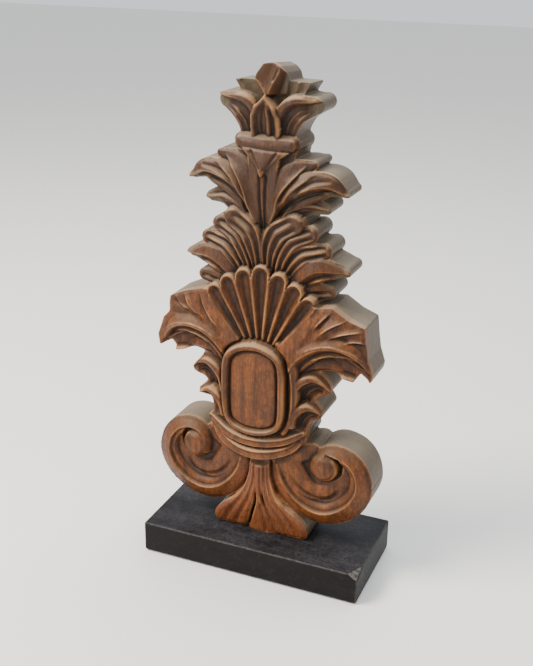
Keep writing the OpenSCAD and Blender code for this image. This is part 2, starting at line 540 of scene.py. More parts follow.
@dataclass
class CrestDesign:
    """The carved design: each method lays one tier on a relief.

    Args:
        relief: the board being carved.
        flutes: flutes in the shell.
        focus: where the shell's flutes run together.
        shell_reach: distance from the focus to the top of the middle flute.
        flute_angle: degrees from one flute to the next.
        flute_depth: depth of a flute where it is widest, and where it narrows away.
        leaf_fall: how much lower the right upper leaf hangs than the left one.
    """

    relief: Relief
    flutes: int = 7
    focus: Point = (0.3, 189.0)
    shell_reach: float = 88.0
    flute_angle: float = 11.3
    flute_depth: tuple[float, float] = (4.8, 1.6)
    leaf_fall: float = 3.6

    def carve(self) -> Relief:
        """Lays every tier and returns the relief."""
        for tier in (self.trunk, self.crown, self.collar, self.upper_leaves, self.fan,
                     self.wings, self.side_leaves, self.shell, self.foot, self.scrolls,
                     self.ribbons, self.cartouche):
            tier()
        return self.relief

    def trunk(self) -> None:
        """The bed the tiers stand on, swelling behind the cartouche."""
        self.relief.lay(Lobe([(0, 32), (0, 66), (0, 100), (-3, 130), (-3, 165), (-1, 200), (0, 240),
                              (0, 280), (0, 310), (0, 345), (0, 372)],
                             [40, 16, 32, 41, 38, 46, 46, 38, 30, 20, 18],
                             [-5, 0, 4, 12, 14, 13, 4, 0, -2, -1, -1], 8, Section.ROUND), False)

    def crown(self) -> None:
        """Back petals, folded bud, side petals and middle petal."""
        r = self.relief
        px, pz = np.meshgrid(r.x, r.z)
        r.lay(Lobe([(0, 374), (2.4, 389), (2.6, 404), (2.6, 418.6)], [17, 19, 23, 30.5],
                   [-2, -3, -1, 1],
                   0.5, Section.FLAT, 1.0, 0.8, flat_tip=True), False)
        r.work(Stroke([(5, 398), (11, 408), (19, 421)], 7.5, -5.5, 0.02, 0.5))
        r.work(Stroke([(17, 400), (24, 409), (32, 421)], 5, -3.5, 0.02, 0.5))
        # The bud is a blade folded along a ridge that runs up to the right
        bud = r.inside([(2, 403), (-8.6, 420.5), (-7.4, 424.5), (-2.4, 431.8), (4.5, 432.4),
                        (10.6, 429.6),
                        (14.4, 425), (16, 419), (14.6, 408)])
        ridge = 2 + 0.45 * (pz - 409)
        level = 7.2 - 0.13 * np.clip(pz - 409, 0, 30) - 1.5 * np.clip(409.5 - pz, 0, 9)
        left = 0.3 * np.clip(np.abs(px - ridge + 5.5) - 1.5, 0, 9) - 1.2
        r.plate(bud, level + np.where(px > ridge, -1.25 * np.clip(px - ridge, 0, 7), left), 1.0, 1.0)
        r.work(Stroke([(2.2, 410), (6.2, 418), (10.4, 427.6)], 1.1, 1.0, 0.15), False)
        r.work(Stroke([(5.6, 418), (7.6, 422.5), (9.6, 428)], 1.3, -1.6, 0.2, 0.5), False)

        for mirror, line in ((False, [(11.5, 376), (15.2, 388.5), (22.5, 398), (37, 402)]),
                             (True, [(11, 376), (14, 388.5), (20.5, 398), (34.5, 402.3)])):
            r.lay(Lobe(line, [10.5, 11.2, 10.8, 6.6], [5, 6, 7, 3], 6.0, Section.PETAL, 2.4, 3.0),
                  False, mirror)
        r.work(Stroke([(15.5, 379), (18.5, 388), (25, 395.5), (34, 399.5)], 1.2, 1.6, 0.3))
        r.work(Stroke([(20, 379), (23.5, 387), (29.5, 393), (36.5, 397.5)], 1.2, 1.4, 0.3))
        # The middle petal is a pointed arch, hollowed inside its bevel
        half = [(0, 409), (3.6, 405.6), (8.4, 401), (12, 393), (12.6, 384), (11.2, 372)]
        petal = r.inside([(-x, z) for x, z in half[:0:-1]] + half)
        level = 5.6 + 4.2 * ease((pz - 374) / 26)
        r.plate(petal, level - 3.6 * ease((petal - 2.4) / 3.6), 2.4, 2.2, outline=False, over=True)
        r.work(Stroke([(2.2, 376), (2.6, 390), (1.2, 403)], 2.4, 2.6, 0.2, 0.5), False)
        r.work(Stroke([(-3.6, 377), (-3.9, 389), (-2.2, 399)], 1.2, -1.2, 0.3), False)

    def collar(self) -> None:
        """Round bead under the crown."""
        self.relief.lay(Lobe([(-20.5, 372.6), (0, 371.2), (20.5, 372.6)], [6.8, 7.8, 6.8],
                             [6.5, 8.5, 6.5], 7, Section.ROUND, 2, 2, capped=True), False)

    def upper_leaves(self) -> None:
        """Leaf tier under the collar, with its bracket and ribbed stem."""
        r = self.relief
        r.lay(Lobe([(0, 336), (0, 352), (0, 367)], [14, 21, 25], [4, 4, 2], 1, Section.FLAT,
                   flat_tip=True), False)
        for mirror, fall in ((False, self.leaf_fall), (True, 0.0)):

            def hang(*line: Point) -> list[Point]:
                """Lowers a line's points, more the further out they lie."""
                return [(x, z - fall * min(1, max(0, (x - 6) / 20))) for x, z in line]

            lower = Lobe([(10, 309), (21, 321), (35, 327), (48, 325)], [5, 8.5, 8.5, 5],
                         [6, 6, 4, -0.5], 5,
                         Section.LEAF, 2.2, 2.5)
            r.lay(lower, False, mirror)
            r.flute(lower, 0.3, 0.2, 1.6, 3.0, False, mirror)
            r.lay(Lobe(hang((12, 338), (20, 350), (30, 358), (38.5, 362)), [8, 9.8, 9.6, 3.4],
                       [8, 7.5, 4, 2],
                       1.5, Section.ROUND, 2.2, 2), False, mirror)
            main = Lobe(hang((6, 310), (13, 327), (24, 339), (38, 345.5), (52, 347.5), (64, 341.5)),
                        [6, 11, 13, 12.5, 9.4, 3.4], [9, 11, 11, 10, 7.5, 2], 8, Section.LEAF, 2.8, 3)
            r.lay(main, False, mirror)
            r.flute(main, -0.42, 0.2, 1.8, 3.0, False, mirror)
            r.lap(Fold(hang((11, 322), (15.5, 336), (23.5, 349), (35, 362)), 2.8, 4, 0.3), False,
                  mirror)
            r.work(Stroke(hang((10.6, 321), (15, 336), (23.2, 349), (34.4, 362)), 1.0, 1.4, 0.2),
                   False, mirror)
            r.lap(Fold(hang((16, 324), (22, 338), (32, 348.5), (45, 357.5)), 2.4, 3.2, 0.35), False,
                  mirror)
            r.work(Stroke(hang((21, 332), (29, 343), (40, 350), (54, 352)), [1.2, 2.2, 1.6], -1.8,
                          0.3, 0.5),
                   False, mirror)
            r.work(Stroke(hang((15, 317), (23, 330), (35, 338.5), (49, 342), (63, 340)), 1.1, 1.8,
                          0.15),
                   False, mirror)
            r.work(Stroke([(20, 315), (32, 322.5), (46, 323.5)], 1.2, 1.4, 0.2), False, mirror)
        r.lay(Lobe([(0, 364), (-0.1, 350), (-0.2, 336), (-0.4, 300)], [14, 11.5, 8.5, 3.6],
                   [8, 9.2, 8, 4], 1,
                   Section.FLAT, 1.5, 1.5, outline=False), False)
        r.work(Stroke([(2.8, 350), (2.2, 330), (0.9, 303)], [1.3, 1.5, 0.9], -1.8, 0.05, 0.5))
        r.lay(Lobe([(-0.6, 347.5), (-0.4, 355), (0, 368)], [0.8, 8.5, 21.5], [13.5, 12, 8.5], 3,
                   Section.ROUND,
                   1.8, 3, flat_tip=True, outline=False), False)
        r.work(Stroke([(1.6, 352.5), (6, 359), (11.5, 367)], 1.6, -2.0, 0.1))

    def fan(self) -> None:
        """Fan of fluted lobes in the middle, each lapping over the one outside it."""
        r = self.relief
        low = Lobe([(26, 244), (40, 257), (53.5, 259)], [6, 8, 6.2], [4, 4.5, -0.5], 2.5,
                   Section.ROUND, 2.5, 3)
        r.lay(low)
        r.flute(low, -0.1, 0.3, 2.2)
        outer = Lobe([(18, 246), (30, 265), (45, 277), (66, 276.5)], [6, 10, 10.5, 4.8],
                     [4, 7, 8, 1.0], 6.5,
                     Section.LEAF, 3, 4)
        r.lay(outer)
        r.work(Stroke([(31, 259), (43, 268), (60, 271.5)], 1.3, 1.8, 0.2))
        third = Lobe([(13, 248), (20, 272), (32, 287), (49.5, 292)], [4, 6.5, 8.4, 6.6],
                     [3, 6.5, 8, 3], 1.5,
                     Section.ROUND, 3.4, 5.5)
        second = Lobe([(9, 250), (12.5, 278), (21.5, 297), (38, 304.8)], [4, 6.2, 8.8, 7],
                      [3, 8, 10, 5.5], 1.5,
                      Section.ROUND, 3.4, 5.5)
        first = Lobe([(4.6, 252), (5.2, 283), (10.8, 302), (24.5, 311.6)], [4, 5.6, 9.6, 9.4],
                     [3, 9, 11.5, 9], 1.5, Section.ROUND, 3.6, 6)
        for lobe in (third, second, first):
            r.lay(lobe)
            r.flute(lobe, 0.4, 0.3, 2.9)
            r.flute(lobe, -0.4, 0.28, 2.5)

    def wings(self) -> None:
        """Broad leaves either side of the shell, with cut ends and gouged veins."""
        r = self.relief
        px, pz = np.meshgrid(r.x, r.z)
        right = r.inside([(8, 256), (48, 248), (60, 249), (74, 240), (87, 235), (88.5, 222),
                          (90.5, 208),
                          (94.5, 196), (93, 189), (84, 196), (79.5, 189), (61, 194), (8, 180)])
        left = r.inside([(-8, 256), (-48, 251), (-61, 247), (-70, 244), (-84, 237.5), (-85.5, 223),
                         (-91.5, 217), (-97.5, 201), (-96, 191), (-85, 197), (-79, 189.5), (-62, 194),
                         (-8, 180)])
        top = 14.5 - 11.0 * np.clip((np.abs(px) - 40) / 54, 0, 1) ** 1.3
        # The leaf rises towards its rolled crest and falls away above
        top = top - 4.5 * ease((pz - 222 - 0.1 * np.abs(px)) / 26)
        for side in (right, left):
            r.plate(side, top, 2.5, 2.0)
        dip = Lobe([(36, 186), (50, 200), (70, 203), (88, 194)], [12, 13, 12, 6], [0, 0, 0, 0])
        r.clear(dip, 1.0)
        r.lay(Lobe([(30, 182), (43, 193), (60, 196.5), (78, 191)], [7, 7.5, 7, 4.5], [8, 6, 4, -1], 4,
                   Section.LEAF, 2.5, 3, outline=False))
        r.lay(Lobe([(24, 186), (34, 203), (48, 214), (64, 217), (79, 212.5), (91, 200)],
                   [9, 10.5, 10.5, 9.5, 7.5, 3.4], [15.5, 17, 17, 15.5, 12, 5], 9, Section.LEAF, 2.5,
                   2.5,
                   outline=False))
        r.work(Stroke([(44, 203), (60, 208.5), (76, 205), (89, 197.5)], 1.4, 2.2, 0.2))
        r.work(Stroke([(35, 208), (45, 215), (57, 218.8), (68, 218.3), (80, 214.5), (92, 205)], 1.2,
                      1.3, 0.15))
        for line in ([(34, 212), (44, 223), (51, 235), (57, 245)],
                     [(42, 214), (54, 224), (68, 232), (82, 236)],
                     [(50, 218.5), (64, 224), (78, 226), (88, 225)]):
            r.work(Stroke(line, [2.5, 4.0, 3.5], -1.5, 0.3, 0.5))
        for line in ([(46.5, 230.5), (52, 237.5), (60, 246)], [(51, 227), (61, 234.5), (73, 240.5)],
                     [(56, 223), (72, 229.5), (88, 233)], [(72, 222), (81, 223.5), (90, 222.5)]):
            r.lap(Fold(line, 2.8, 4.0, 0.3), False)
            r.work(Stroke(line, 0.9, 1.5, 0.25), False)
        for line in ([(-55, 248), (-50, 236), (-42, 226), (-33, 218)],
                     [(-70, 243), (-62.5, 231.5), (-53, 227)],
                     [(-79, 240), (-72.5, 232), (-62, 228)]):
            r.lap(Fold(line[::-1], -2.6, 4.0, 0.3), False)
            r.work(Stroke(line, 0.9, 1.5, 0.25), False)

    def shell(self) -> None:
        """Fluted shell, its scalloped rim standing proud of the fan."""
        r = self.relief
        px, pz = np.meshgrid(r.x, r.z)
        dx, dz = px - self.focus[0], pz - self.focus[1]
        angle = np.degrees(np.arctan2(dx, dz))
        reach = np.hypot(dx, dz)
        turn = angle / self.flute_angle
        near = np.clip(np.round(turn), -(self.flutes // 2), self.flutes // 2)
        centre = np.radians(near * self.flute_angle)
        crest = self.shell_reach - 0.235 * np.abs(near) * self.flute_angle
        # Each flute ends in a round arch
        half = np.radians(self.flute_angle / 2) * (crest - 8) * 1.04
        along = dx * np.sin(centre) + dz * np.cos(centre)
        away = np.abs(dx * np.cos(centre) - dz * np.sin(centre))
        arch = half - np.hypot(np.maximum(along - (crest - half), 0), away)
        side = (self.flutes / 2 + 0.1) * self.flute_angle - np.abs(angle)
        depth = np.where(along > crest - half, arch, np.where(side > 0, 99, -1))
        depth = np.where(reach < 14, -1, depth)
        room = np.radians(self.flute_angle / 2) * np.minimum(reach, crest - 8)
        gap = np.minimum(np.where(along > crest - half, arch, 99), np.maximum(room - away, 0))
        # Round flutes between round ribs, shallower as they narrow
        room = np.where(along > crest - half, half, room)
        deep, shallow = self.flute_depth
        hollow = shallow + (deep - shallow) * np.clip(room / 7.5, 0, 1)
        hollow = hollow * ease(gap / np.maximum(0.78 * room, 0.5)) + 0.5 * ease((gap - 0.9) / 1.2)
        top = 13.4 - 0.8 * (1 - np.clip(reach / 70, 0, 1))
        before = r.h.copy()
        r.plate(depth, top - hollow, 3.2, 5.0, outline=False, over=True)
        r.h = before + (r.h - before) * ease(np.radians(side) * reach / 3.5)

    def side_leaves(self) -> None:
        """Curled leaves beside the cartouche."""
        r = self.relief
        right = [(16, 192), (46, 191.5), (55, 187.5), (61, 178), (58, 172.5), (50, 169), (47, 166.5),
                 (50, 163), (54.5, 155), (52, 150), (45, 146), (41, 137), (39, 126), (16, 126)]
        left = [(-16, 192), (-50, 192), (-56, 186.5), (-64.5, 175.5), (-62.5, 171.5), (-54, 169.5),
                (-50.5, 166.5), (-52, 163.5), (-58.5, 157.5), (-56, 153), (-48, 149), (-45, 138),
                (-42, 126), (-16, 126)]
        px, _ = np.meshgrid(r.x, r.z)
        for sign, bed, out in ((1, right, 0.0), (-1, left, 4.0)):
            r.plate(r.inside(bed, rounded=True), 8.5 - 0.14 * np.clip(np.abs(px) - 24, 0, 40), 3.0, 3.0)
            for up, size in ((163, 1.0), (141, 0.84)):

                def place(x: float, z: float) -> Point:
                    """Moves a point of the upper right curl to this one."""
                    return sign * (29 + out + (x - 29) * size), up + (z - 163) * size

                r.work(Stroke([place(37, 158), place(40, 170), place(47, 176), place(55, 176)],
                              [3.5, 6, 6, 3.5], -4.0, 0.2, 0.5), False)
                r.lay(Lobe([place(29, 161), place(30, 173), place(36, 182), place(45, 186),
                            place(54, 182.5),
                            place(59.5, 176.5)], [3.6, 4.2, 4.4, 4.2, 2.8, 1.4],
                           [13, 14.5, 14.5, 12.5, 9, 5.5], 5, Section.ROUND, 2.0, 4, outline=False), False)
                for x, z in ((0, 0), (3.6, -3.4)):
                    r.work(Stroke([place(34 + x, 160 + z), place(36 + x, 172 + z),
                                   place(42 + x, 178.5 + z),
                                   place(50 + x * 0.6, 179.5 + z), place(57 + x * 0.2, 175 + z)],
                                  1.0, 1.5, 0.3), False)

    def foot(self) -> None:
        """Flared bundle of leaves standing on the plinth."""
        r = self.relief
        px, pz = np.meshgrid(r.x, r.z)
        fall = 9.5 - 6.0 * ease((72 - pz) / 44)
        for sign in (1, -1):
            leaf = [(2, 108), (9, 104), (10.5, 88), (15, 73), (24, 60), (36, 50), (43.5, 40), (42, 31),
                    (28, 30), (14, 31), (9, 45), (4, 62), (1, 85)]
            depth = r.inside([(sign * x, z) for x, z in leaf], rounded=True)
            r.plate(depth, fall + 0.03 * np.abs(px), 4.5, 4.0)
        r.plate(r.inside([(0, 70), (7, 52), (15, 38), (17.5, 28), (3, 27), (-11, 28), (-9, 40),
                          (-4, 56)],
                         rounded=True), fall + 1.2 - 0.012 * px ** 2, 4.0, 3.6)
        r.lay(Lobe([(0, 108), (0, 88), (0, 62)], [5, 4.5, 2.5], [11, 11, 9.5], 2, Section.ROUND, 1.5, 2,
                   outline=False), False)
        r.work(Stroke([(7.6, 98), (9.4, 80), (16, 63), (27, 47), (36, 30)], [1.2, 1.6, 2.4, 3, 3],
                      -1.5, 0.06, 0.5))
        r.work(Stroke([(4.8, 98), (5.6, 80), (10, 62), (18, 46), (25, 30)], [1.0, 1.4, 2.0, 2.4, 2.4],
                      -1.4, 0.06,
                      0.5))
        r.work(Stroke([(1.2, 96), (1.4, 80), (2.2, 66)], 1.3, -1.5, 0.1, 0.5), False)
        r.work(Stroke([(2, 60), (4, 44), (6, 29)], 2.0, -1.2, 0.1, 0.5), False)

    def scrolls(self) -> None:
        """Scroll bands curling in to round eyes."""
        r = self.relief
        r.lay(Lobe([(57, 92), (60, 92)], [27, 27], [2.5, 2.5], 1, Section.FLAT, capped=True))
        r.lay(Lobe([(30, 112), (46, 117)], [9, 7], [7, 3], 1, Section.ROUND, 3, 3, capped=True))
        r.lay(Lobe([(18, 112), (30, 95), (40, 84), (50, 80.5), (61, 84), (68, 95)],
                   [12, 13, 11.5, 9.5, 7.5, 5],
                   [8.5, 8, 7.5, 6, 4.5, 2], 3, Section.ROUND))
        r.lay(Lobe([(14, 108), (18.5, 88), (27, 74.5), (38, 65), (52, 60), (67, 62.5), (81, 73),
                    (89, 88.5),
                    (88, 104), (80, 115.5), (67.5, 120.5), (57, 118), (50.5, 110), (50.5, 101)],
                   [5, 9, 10.5, 11, 11, 10.8, 11, 11, 10, 8.6, 7.6, 6.4, 5.4, 4.5],
                   [9, 9.5, 9.5, 9, 8.5, 8.5, 8.5, 8.5, 8.5, 8.5, 8.5, 9, 9.5, 9.5], 8.5,
                   Section.BAND, 2.5, 2))
        r.work(Stroke([(26, 96), (32, 87), (42, 79), (53, 75.5), (64, 78), (72, 87)], 2.4, -1.8, 0.3))
        for sign, out, up in ((1, -3.0, 2.0), (-1, 0.5, 0.0)):
            slit = [(58, 91.5), (66, 94), (72, 100), (73, 107.5), (69, 114), (61, 116)]
            r.work(Stroke([(sign * (x + out), z + up) for x, z in slit],
                          [2.4, 3.0, 3.2, 3.0, 2.6, 2.0], -6.5,
                          0.3, 0.5), False)
            eye = [(sign * (60 + out), 104 + up), (sign * (60.6 + out), 104.4 + up)]
            r.lay(Lobe(eye, [12.4, 12.4], [11.5, 11.5], 3.0, Section.ROUND, 6, 5, capped=True,
                       outline=False),
                  False)

    def cartouche(self) -> None:
        """Blank arched panel in its raised frame, with the sheath beside it."""
        r = self.relief
        r.lay(Lobe([(17, 212), (25.5, 203), (30, 190), (30.5, 170), (29, 150), (22, 134)],
                   [4, 5.5, 5.5, 5.2, 5, 4], [14, 15, 15, 14.5, 14, 13], 4, Section.ROUND, 2.5, 4,
                   capped=True, outline=False), False)
        r.work(Stroke([(28, 196), (30.6, 180), (30.4, 160), (27, 144)], 1.2, 1.6, 0.2), False)
        frame = r.inside([(-3.5, 212.6), (-16, 210), (-26.5, 203), (-31.6, 192), (-32.2, 172),
                          (-31.4, 152),
                          (-26, 137.5), (-14, 130.6), (-3, 129), (8.5, 130.6), (19.5, 137.5),
                          (24.6, 152),
                          (25.4, 172), (24.8, 192), (20.5, 203), (10, 210)], rounded=True)
        panel = r.inside([(-23.6, 188), (-23.8, 152), (-20.5, 141), (-12, 136.8), (-3, 135.8),
                          (6, 136.8),
                          (14.4, 141), (17.6, 152), (17.6, 188), (14.6, 198.6), (6.5, 203.6),
                          (-3, 204.9),
                          (-13, 203.2), (-20.8, 198)], rounded=True)
        share = np.clip(frame, 0, 99) / np.maximum(np.clip(frame, 0, 99) + np.clip(-panel, 0, 99), 0.01)
        tube = np.interp(share, [0, 0.08, 0.25, 0.45, 0.65, 0.78, 0.9, 1.0],
                         [13.5, 17.0, 19.4, 20, 19.6, 18.4, 15.6, 14.6])
        face = np.interp(panel, [0, 0.7, 1.8, 4, 18], [14.6, 16.0, 17.2, 17.6, 18.2])
        h = np.where(panel > 0, face, tube)
        r.h = np.where(frame > 0, h, r.h + (12.6 - r.h) * ease((frame + 2.6) / 2.6))
        r.h = r.h - 1.8 * np.exp(-np.clip(-frame - 1.0, -9, 99) ** 2 / 2.0) * (frame <= 0)

    def ribbons(self) -> None:
        """Two ribbons slung under the cartouche."""
        r = self.relief
        r.clear(Lobe([(-46, 124), (-3, 109), (38, 122)], [11, 13, 11], [0, 0, 0]), 6.5, False)
        r.lay(Lobe([(-43, 130), (-34, 119.5), (-19, 113), (-3, 110.8), (14, 113), (28, 118.5),
                    (36.5, 127)],
                   [3.6, 4.6, 5.0, 5.2, 5.0, 4.6, 3.6], [8, 13, 17, 18, 17, 13, 8], 4.5, Section.RIBBON,
                   1.6, 2.5, capped=True), False)
        r.lay(Lobe([(-46, 134.5), (-31, 127), (-17, 123.4), (-3, 122.4), (11, 123.4), (25, 127),
                    (38.5, 134)],
                   [2.8, 4.0, 4.4, 4.5, 4.4, 4.0, 2.8], [9, 14, 17.5, 18.5, 17.5, 14, 9], 4.5,
                   Section.RIBBON,
                   1.6, 2.5, capped=True), False)


# ---------------------------------------------------------------------------
# Colours, nodes and finishes
# ---------------------------------------------------------------------------

def linear(hex_colour: str) -> tuple[float, float, float, float]:
    """Turns an sRGB hex colour into linear RGBA.

    Args:
        hex_colour: such as "#8a5a3c".

    Returns:
        Four linear numbers.
    """
    parts = [int(hex_colour[i:i + 2], 16) / 255 for i in (1, 3, 5)]
    return (*(c / 12.92 if c <= 0.04045 else ((c + 0.055) / 1.055) ** 2.4 for c in parts), 1.0)


Socket = bpy.types.NodeSocket
Number = Union[float, Socket]
Colour = Union[tuple[float, float, float, float], Socket]


class Tree:
    """A material's node tree, built one node at a time."""

    def __init__(self, name: str) -> None:
        """Starts an empty material with an output.

        Args:
            name: the material's name.
        """
        self.material = bpy.data.materials.new(name)
        self.material.use_nodes = True
        self.nodes = self.material.node_tree.nodes
        self.links = self.material.node_tree.links
        self.nodes.clear()

    def add(self, kind: str, inputs: Optional[dict] = None, **settings) -> bpy.types.Node:
        """Adds a node.

        Args:
            kind: the node's type.
            inputs: socket name or number to a value or another node's output.
            **settings: the node's own properties.

        Returns:
            The new node.
        """
        n = self.nodes.new(kind)
        for key, value in settings.items():
            setattr(n, key, value)
        for key, value in (inputs or {}).items():
            if isinstance(value, Socket):
                self.links.new(value, n.inputs[key])
            else:
                n.inputs[key].default_value = value
        return n

    def mix(self, share: Number, a: Colour, b: Colour) -> Socket:
        """Mixes two colours and returns the result's socket."""
        return self.add("ShaderNodeMix", {0: share, 6: a, 7: b}, data_type="RGBA",
                        clamp_factor=True).outputs[2]

    def math(self, operation: str, a: Number, b: Number = 0.0, clamp: bool = False) -> Socket:
        """Combines two numbers and returns the result's socket."""
        return self.add("ShaderNodeMath", {0: a, 1: b}, operation=operation, use_clamp=clamp).outputs[0]

    def ramp(self, value: Socket, stops: Sequence[tuple[float, float]]) -> Socket:
        """Maps a number through straight stretches.

        Args:
            value: the number.
            stops: (number, result) pairs in order.

        Returns:
            The result's socket.
        """
        n = self.add("ShaderNodeValToRGB", {0: value})
        e = n.color_ramp.elements
        while len(e) > 1:
            e.remove(e[-1])
        for i, (at, level) in enumerate(stops):
            item = e[0] if i == 0 else e.new(at)
            item.position = at
            item.color = (level, level, level, 1)
        return n.outputs[0]

    def noise(self, scale: tuple[float, float, float], detail: float = 3.0, rough: float = 0.5,
              shift: float = 0.0, distortion: float = 0.0) -> Socket:
        """Makes noise fixed to the piece.

        Args:
            scale: size of its bumps in mm along x, y and z.
            detail: how many finer layers it has.
            rough: how strong the finer layers are.
            shift: moves it, so two noises differ.
            distortion: how far it is stirred.

        Returns:
            The noise's socket.
        """
        coords = self.add("ShaderNodeTexCoord").outputs["Object"]
        sizes = self.add("ShaderNodeMapping", {"Vector": coords,
                                               "Location": (shift, shift * 0.7, shift * 1.3),
                                               "Scale": tuple(1000.0 / s for s in scale)})
        return self.add("ShaderNodeTexNoise", {"Vector": sizes.outputs[0], "Scale": 1.0,
                                               "Detail": detail,
                                               "Roughness": rough, "Distortion": distortion}).outputs[0]

    def attribute(self, name: str) -> Socket:
        """Reads a number stored on the mesh and returns its socket."""
        return self.add("ShaderNodeAttribute", attribute_name=name).outputs["Fac"]

    def finish(self, colour: Colour, roughness: Number, height: Optional[Socket] = None,
               bump_mm: float = 0.1, **fixed: float) -> bpy.types.Material:
        """Adds the shader and the output.

        Args:
            colour: base colour.
            roughness: roughness.
            height: fine relief, or None for a smooth surface.
            bump_mm: height of that relief, in mm.
            **fixed: the shader's own sockets that are the same all over.

        Returns:
            The material.
        """
        inputs = {"Base Color": colour, "Roughness": roughness, **fixed}
        if height is not None:
            bump = self.add("ShaderNodeBump", {"Height": height, "Strength": 1.0,
                                               "Distance": bump_mm * MM})
            inputs["Normal"] = bump.outputs[0]
        shader = self.add("ShaderNodeBsdfPrincipled", inputs)
        self.add("ShaderNodeOutputMaterial", {0: shader.outputs[0]})
        return self.material


@dataclass(frozen=True)
class CarvedWood:
    """Waxed brown hardwood, carved with gouges and sawn at the edges.

    It is a soft satin; painted shade with dirt darkens the cuts, wear with a painted highlight pales the
    crests, and upward faces carry dust with painted top light.

    Args:
        name: the material's name.
        light, mid, dark: the wood's own streaks.
        grey: the weathered tone of the upper tiers and the sawn edge's streaks.
        cut: painted shade in the cuts, with the dirt settled there.
        crest: the ridges' wear, with a painted highlight.
        dust, film and the pale ridge tone: dust with painted top light on upward faces of the sawn edge
            and the ledges; on the ridges, pale dust with a painted sheen.
        sawn: the sawn edge and back.
        the foot's paler tone: painted light lifting the foot out of the shade cast over it by the scrolls
        and ribbons.
    """

    name: str = "hardwood_waxed_carved"
    light: str = "#7a4316"
    mid: str = "#522a0e"
    dark: str = "#2a170a"
    grey: str = "#2d1e12"
    cut: str = "#0e0a07"
    crest: str = "#ab7c4c"
    dust: str = "#776b5a"
    film: str = "#60462d"
    pale_dust_and_sheen: str = "#ad967c"
    sawn: str = "#534636"
    foot_painted_light: str = "#8a5034"

    def build(self) -> bpy.types.Material:
        """Makes the material and returns it."""
        t = Tree(self.name)
        # Pores run up the board, 0.8 mm wide and 14 mm long; growth bands are 6 mm wide, and
        # the gouge leaves facets 3 to 5 mm across
        grain = t.noise((0.8, 0.8, 14.0), 4, 0.62, 0.0, 0.25)
        rings = t.noise((6.0, 5.0, 110.0), 3, 0.55, 3.0, 0.6)
        cloud = t.noise((16.0, 16.0, 24.0), 4, 0.55, 9.0)
        speck = t.noise((0.9, 0.9, 1.6), 2, 0.6, 5.0)
        wood = t.mix(t.ramp(rings, [(0.34, 0.0), (0.62, 1.0)]), linear(self.mid), linear(self.light))
        wood = t.mix(t.ramp(grain, [(0.38, 0.5), (0.56, 0.0)]), wood, linear(self.dark))
        wood = t.mix(t.ramp(cloud, [(0.42, 0.0), (0.66, 0.6)]), wood, linear(self.dark))
        tool = t.noise((2.6, 2.6, 4.2), 3, 0.6, 11.0)
        wood = t.mix(t.ramp(tool, [(0.46, 0.0), (0.66, 0.4)]), wood, linear(self.dark))
        wood = t.mix(t.ramp(tool, [(0.3, 0.4), (0.42, 0.0)]), wood, linear(self.light))
        # Painted light: the foot is lifted to a paler tone, out of the shade cast over it.
        foot_painted_light = t.math("MULTIPLY", t.attribute("foot_painted_light"), t.ramp(grain, [(0.35, 0.15), (0.6, 0.42)]))
        wood = t.mix(foot_painted_light, wood, linear(self.foot_painted_light))
        grey = t.math("MULTIPLY", t.attribute("grey"), t.ramp(cloud, [(0.3, 1.0), (0.7, 0.6)]))
        wood = t.mix(grey, wood, linear(self.grey))
        place = t.add("ShaderNodeSeparateXYZ", {0: t.add("ShaderNodeTexCoord").outputs["Object"]})
        facing = t.add("ShaderNodeSeparateXYZ", {0: t.add("ShaderNodeNewGeometry").outputs["Normal"]})
        behind = t.math("MULTIPLY", t.math("ADD", place.outputs[1], 12.5 * MM), 500.0, clamp=True)
        sawn = t.mix(t.ramp(grain, [(0.35, 0.5), (0.6, 0.0)]), linear(self.sawn), linear(self.grey))
        wood = t.mix(behind, wood, sawn)
        fore = t.math("SUBTRACT", 1.0, behind)
        pits = t.math("MULTIPLY", t.ramp(speck, [(0.36, 0.45), (0.5, 0.0)]),
                      t.ramp(cloud, [(0.35, 1.0), (0.6, 0.3)]))
        wood = t.mix(t.math("MULTIPLY", pits, fore), wood, linear(self.cut))
        # Painted shade, with dirt: the cuts darken by how far they lie below their surroundings.
        cut = t.math("MULTIPLY", t.attribute("cut"), t.ramp(speck, [(0.25, 1.0), (0.8, 0.75)]))
        wood = t.mix(t.math("MULTIPLY", cut, fore), wood, linear(self.cut))
        # Upward faces take dust together with painted top light; on crests and upper tiers it turns to a
        # pale painted sheen.
        up = t.math("ADD", t.math("MULTIPLY", facing.outputs[2], 1.4), -0.52, clamp=True)
        dust = t.math("MULTIPLY", up, t.ramp(cloud, [(0.3, 0.75), (0.6, 1.0)]))
        dust = t.math("MULTIPLY", dust, t.math("ADD", 0.8, t.math("MULTIPLY", behind, 0.2)))
        lit = t.math("MULTIPLY", t.attribute("worn"), 2.5)
        lit = t.math("ADD", lit, t.math("MULTIPLY", t.attribute("grey"), 0.55), clamp=True)
        film = t.mix(behind, t.mix(lit, linear(self.film), linear(self.pale_dust_and_sheen)), linear(self.dust))
        wood = t.mix(dust, wood, film)
        # Crests pale with wear and a painted highlight, also along the board's outline.
        worn = t.math("MULTIPLY", t.attribute("worn"), t.ramp(cloud, [(0.35, 1.0), (0.6, 0.35)]))
        worn = t.math("MULTIPLY", worn, fore)
        wood = t.mix(worn, wood, linear(self.crest))
        rough = t.math("ADD", t.math("MULTIPLY", t.attribute("cut"), 0.25), 0.46)
        rough = t.math("ADD", rough, t.math("MULTIPLY", dust, 0.28))
        rough = t.math("SUBTRACT", rough, t.math("MULTIPLY", worn, 0.08))
        chisel = t.noise((3.6, 3.6, 5.0), 2, 0.5, 2.0)
        height = t.math("ADD", t.math("MULTIPLY", grain, 0.5), t.math("MULTIPLY", chisel, 1.8))
        height = t.math("ADD", height, t.math("MULTIPLY", speck, 0.5))
        return t.finish(wood, rough, height, 0.26, **{"Specular IOR Level": 0.26})


